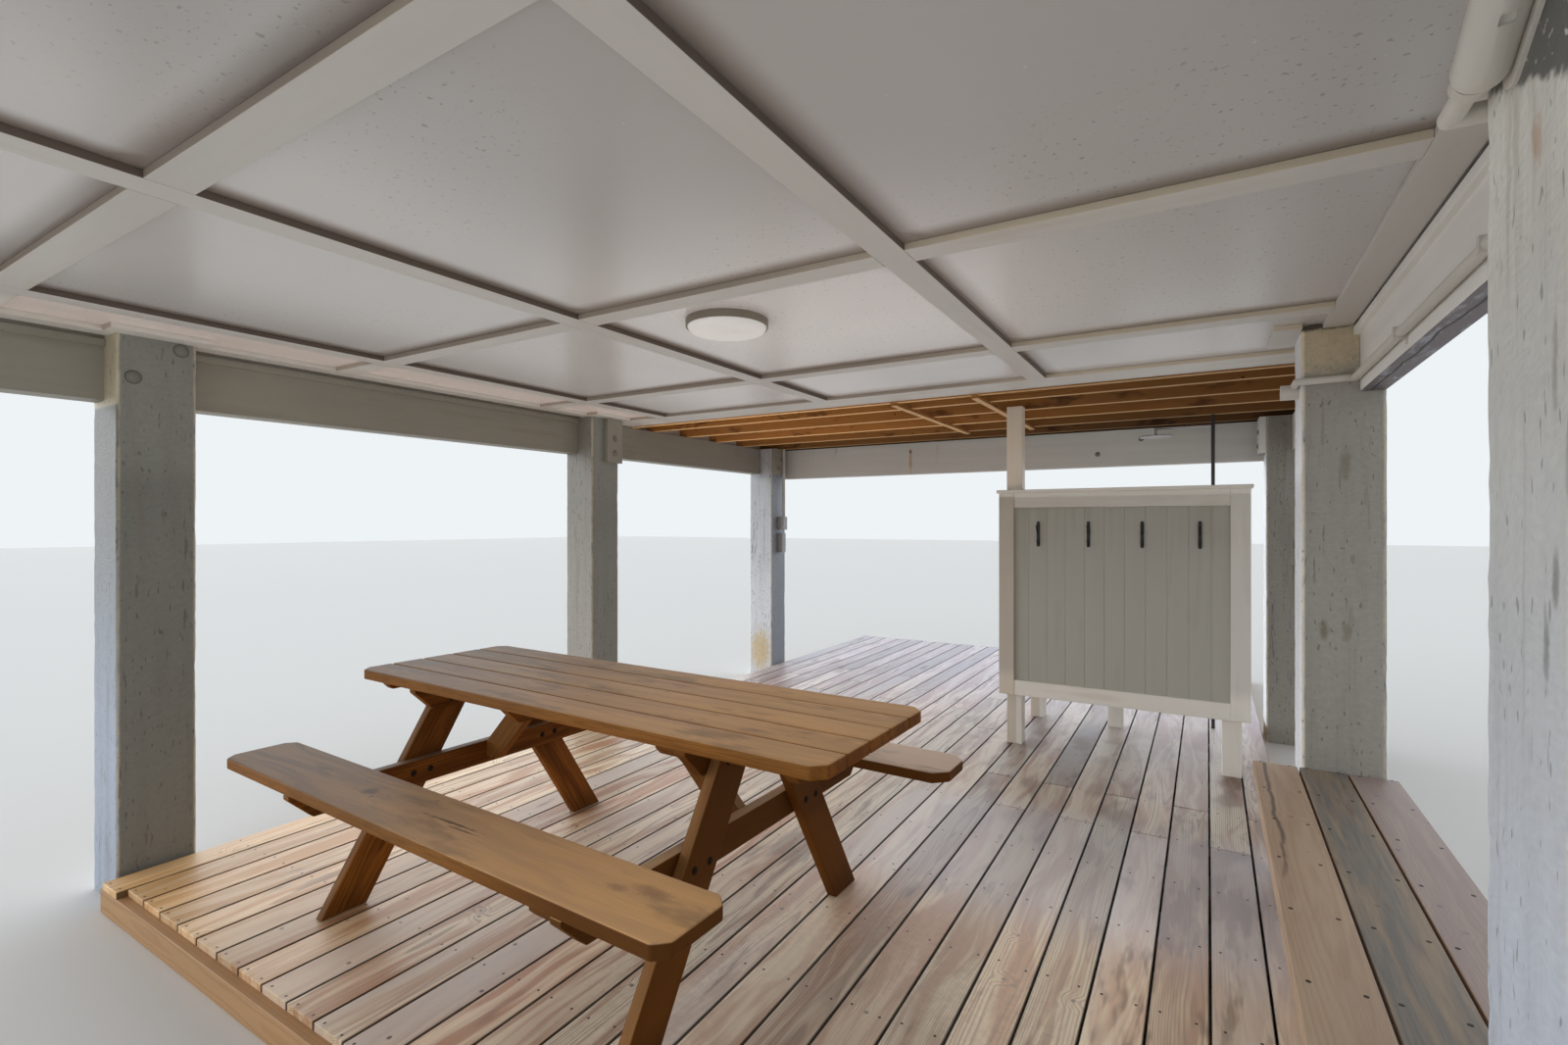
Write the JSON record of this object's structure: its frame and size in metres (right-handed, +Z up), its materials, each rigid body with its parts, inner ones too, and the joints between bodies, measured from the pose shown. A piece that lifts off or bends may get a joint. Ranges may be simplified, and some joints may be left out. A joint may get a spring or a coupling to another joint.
{
  "type": "open ground storey of a raised beach house",
  "caption": "Open ground storey of a raised timber house: square posts and beams, battened ceiling, bare balcony joists, low deck, bench, shower screen and picnic table.",
  "frame": {"origin": "ground level, at the middle of the plan", "axes": "+X to the right across the deck, +Y away from the open near end along the deck boards, +Z up"},
  "size_m": [4.355, 9.122, 2.448],
  "materials": {
    "post_paint": "weathered light grey paint over rough timber",
    "beam_paint": "matt warm grey paint",
    "ceiling_paint": "satin off-white paint with mildew specks",
    "batten_paint": "satin off-white paint",
    "joist_wood": "bare golden brown timber",
    "rim_paint": "matt light grey paint",
    "sheet_wood": "bare plywood",
    "balcony_wood": "weathered boards",
    "deck_wood": "treated pine, tan to grey purple, grain and knots",
    "deck_rim_wood": "treated pine, golden",
    "bench_wood": "weathered pine with knots",
    "screen_trim_paint": "satin cream paint",
    "screen_board_paint": "satin grey-green paint",
    "hook_black": "satin black",
    "dark_pipe": "satin dark bronze",
    "shower_metal": "brushed",
    "light_rim": "satin white",
    "light_bowl": "frosted white",
    "conduit_plastic": "painted light grey",
    "outlet_metal": "weathered grey",
    "table_wood": "oiled pine, golden brown"
  },
  "bodies": {
    "root": {"post_left_1": "post_paint", "post_left_2": "post_paint", "post_left_3": "post_paint", "post_left_4": "post_paint", "post_right_1": "post_paint", "post_right_2": "post_paint", "post_right_3": "post_paint", "post_right_4": "post_paint", "beam_left_house": "beam_paint", "beam_left_balcony": "beam_paint", "beam_right_house": "beam_paint", "beam_right_balcony": "beam_paint", "beam_far": "beam_paint", "beam_blocks": "beam_paint", "sill_plates": "beam_paint", "ceiling_panels": "ceiling_paint", "long_battens": "batten_paint", "cross_battens": "batten_paint", "border_battens": "batten_paint", "ceiling_edge_boards": "batten_paint", "post_trims": "batten_paint", "house_joists": "joist_wood", "house_side_rims": "rim_paint", "house_end_rims": "rim_paint", "subfloor": "sheet_wood", "balcony_joists": "joist_wood", "balcony_side_rims": "rim_paint", "balcony_boards": "balcony_wood", "joist_strips": "joist_wood", "deck_boards": "deck_wood", "deck_end_rims": "deck_rim_wood", "deck_side_rims": "deck_rim_wood", "deck_sleepers": "deck_rim_wood", "bench_boards": "bench_wood", "bench_rails": "bench_wood", "bench_legs": "bench_wood", "screen_stiles": "screen_trim_paint", "screen_rails": "screen_trim_paint", "screen_boards": "screen_board_paint", "screen_cap": "screen_trim_paint", "screen_posts": "screen_trim_paint", "screen_returns": "screen_board_paint", "coat_hooks": "hook_black", "shower_pipe": "dark_pipe", "shower_head": "shower_metal", "light_base": "light_rim", "light_diffuser": "light_bowl", "beam_conduit": "conduit_plastic", "conduit_fittings": "conduit_plastic", "outlet_conduit": "conduit_plastic", "outlet_boxes": "outlet_metal", "table_top": "table_wood", "table_cleats": "table_wood", "table_legs": "table_wood", "table_seat_beams": "table_wood", "table_braces": "table_wood", "seat_near": "table_wood", "seat_far": "table_wood"}
  },
  "joints": []
}
